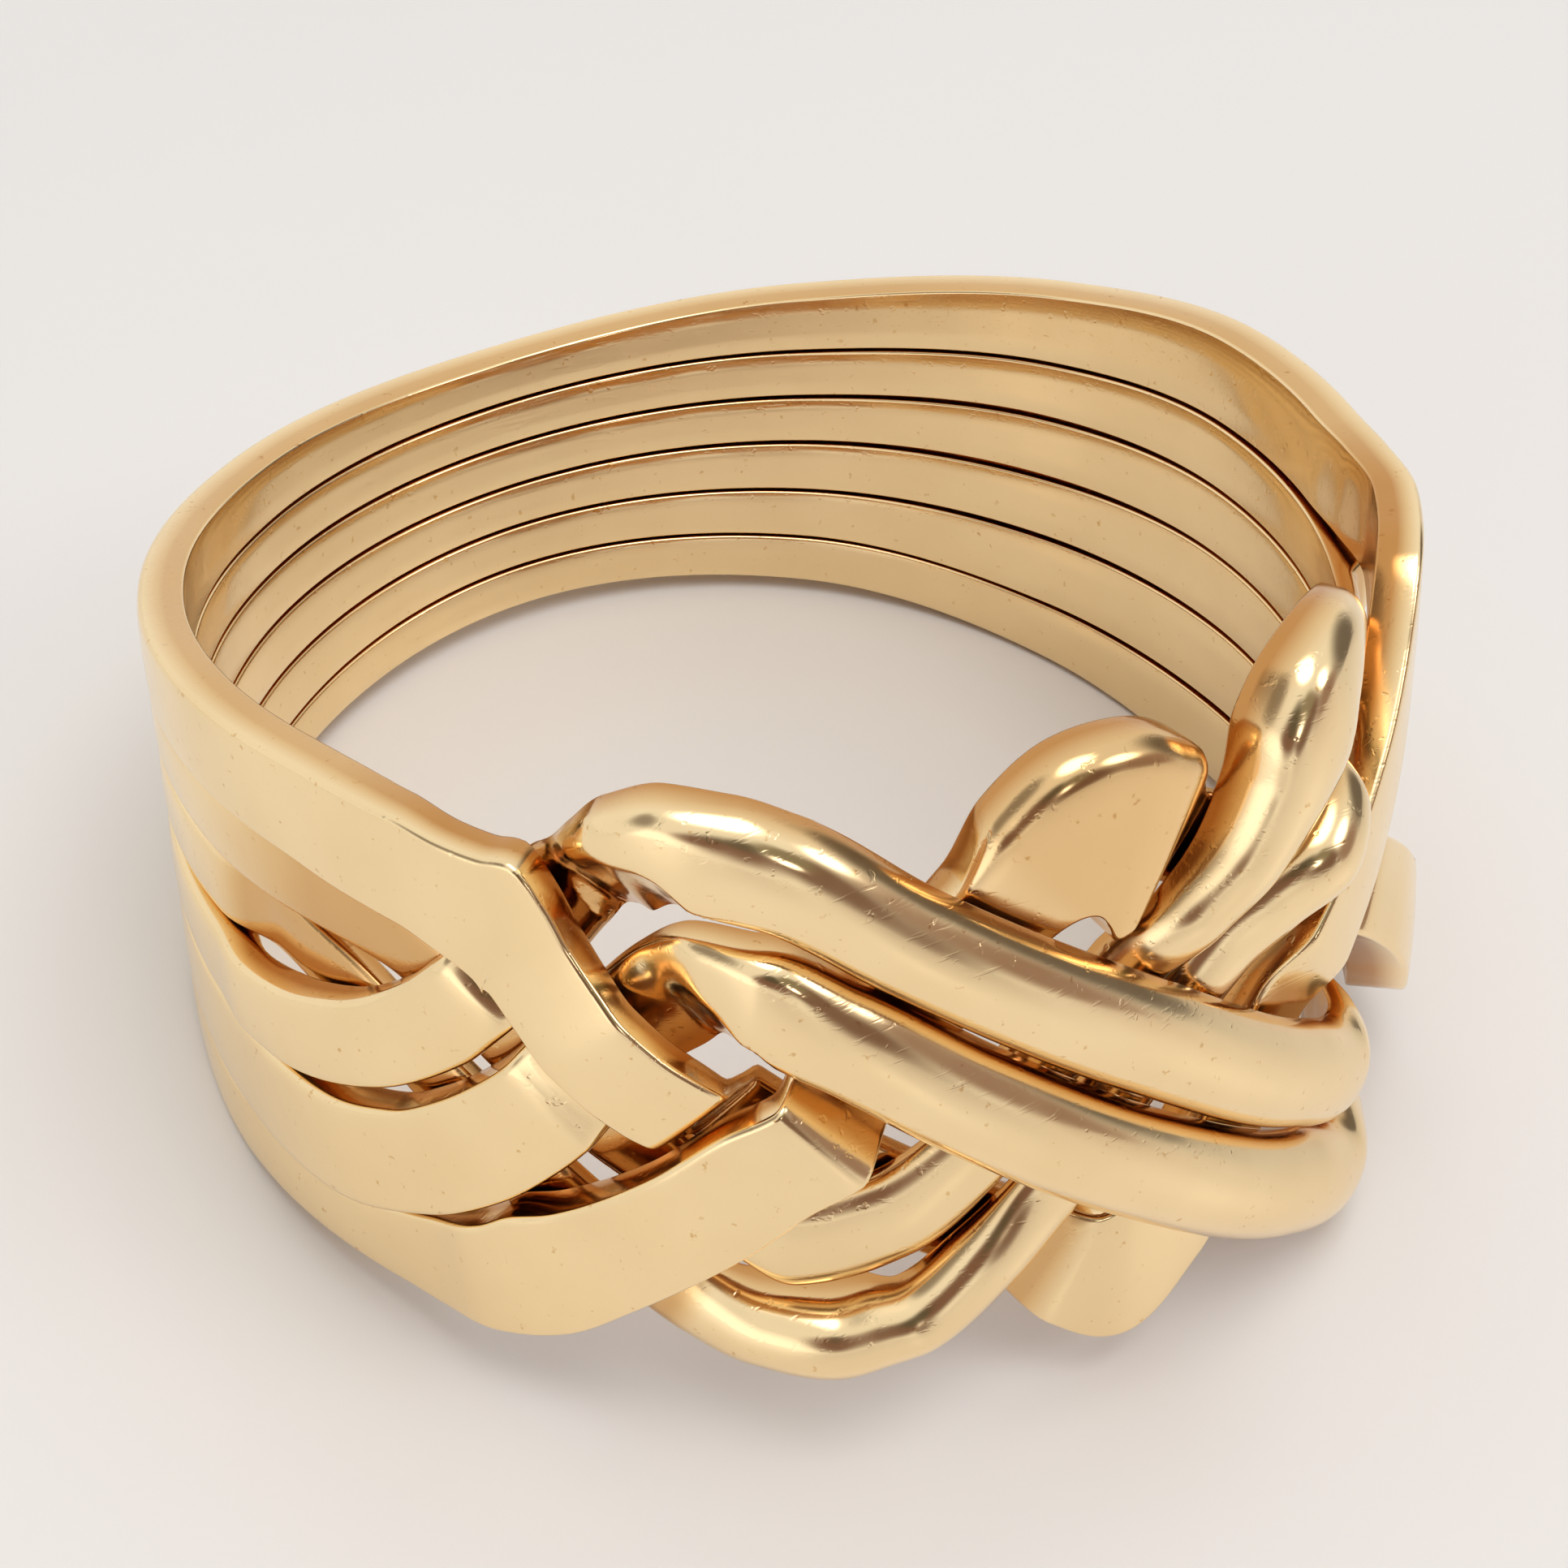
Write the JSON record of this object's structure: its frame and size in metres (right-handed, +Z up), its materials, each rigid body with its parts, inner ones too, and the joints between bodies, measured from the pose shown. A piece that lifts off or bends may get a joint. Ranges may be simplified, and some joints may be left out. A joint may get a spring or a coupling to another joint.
{
  "type": "puzzle ring",
  "caption": "Finger ring of interlocked closed bands, plain and side by side at the back and woven over and under into a broad open head.",
  "frame": {"origin": "on the floor under the middle of the ring's box", "axes": "+Z up from the floor that the ring lies on; -Y towards the woven head, which lies a little higher than the back; +X to the right as the head is seen"},
  "size_m": [0.0206, 0.022, 0.0125],
  "materials": {
    "gold": "polished, finely scratched warm gold"
  },
  "bodies": {
    "root": {"band_1": "gold", "band_2": "gold", "band_3": "gold", "band_4": "gold", "band_5": "gold", "band_6": "gold"}
  },
  "joints": []
}
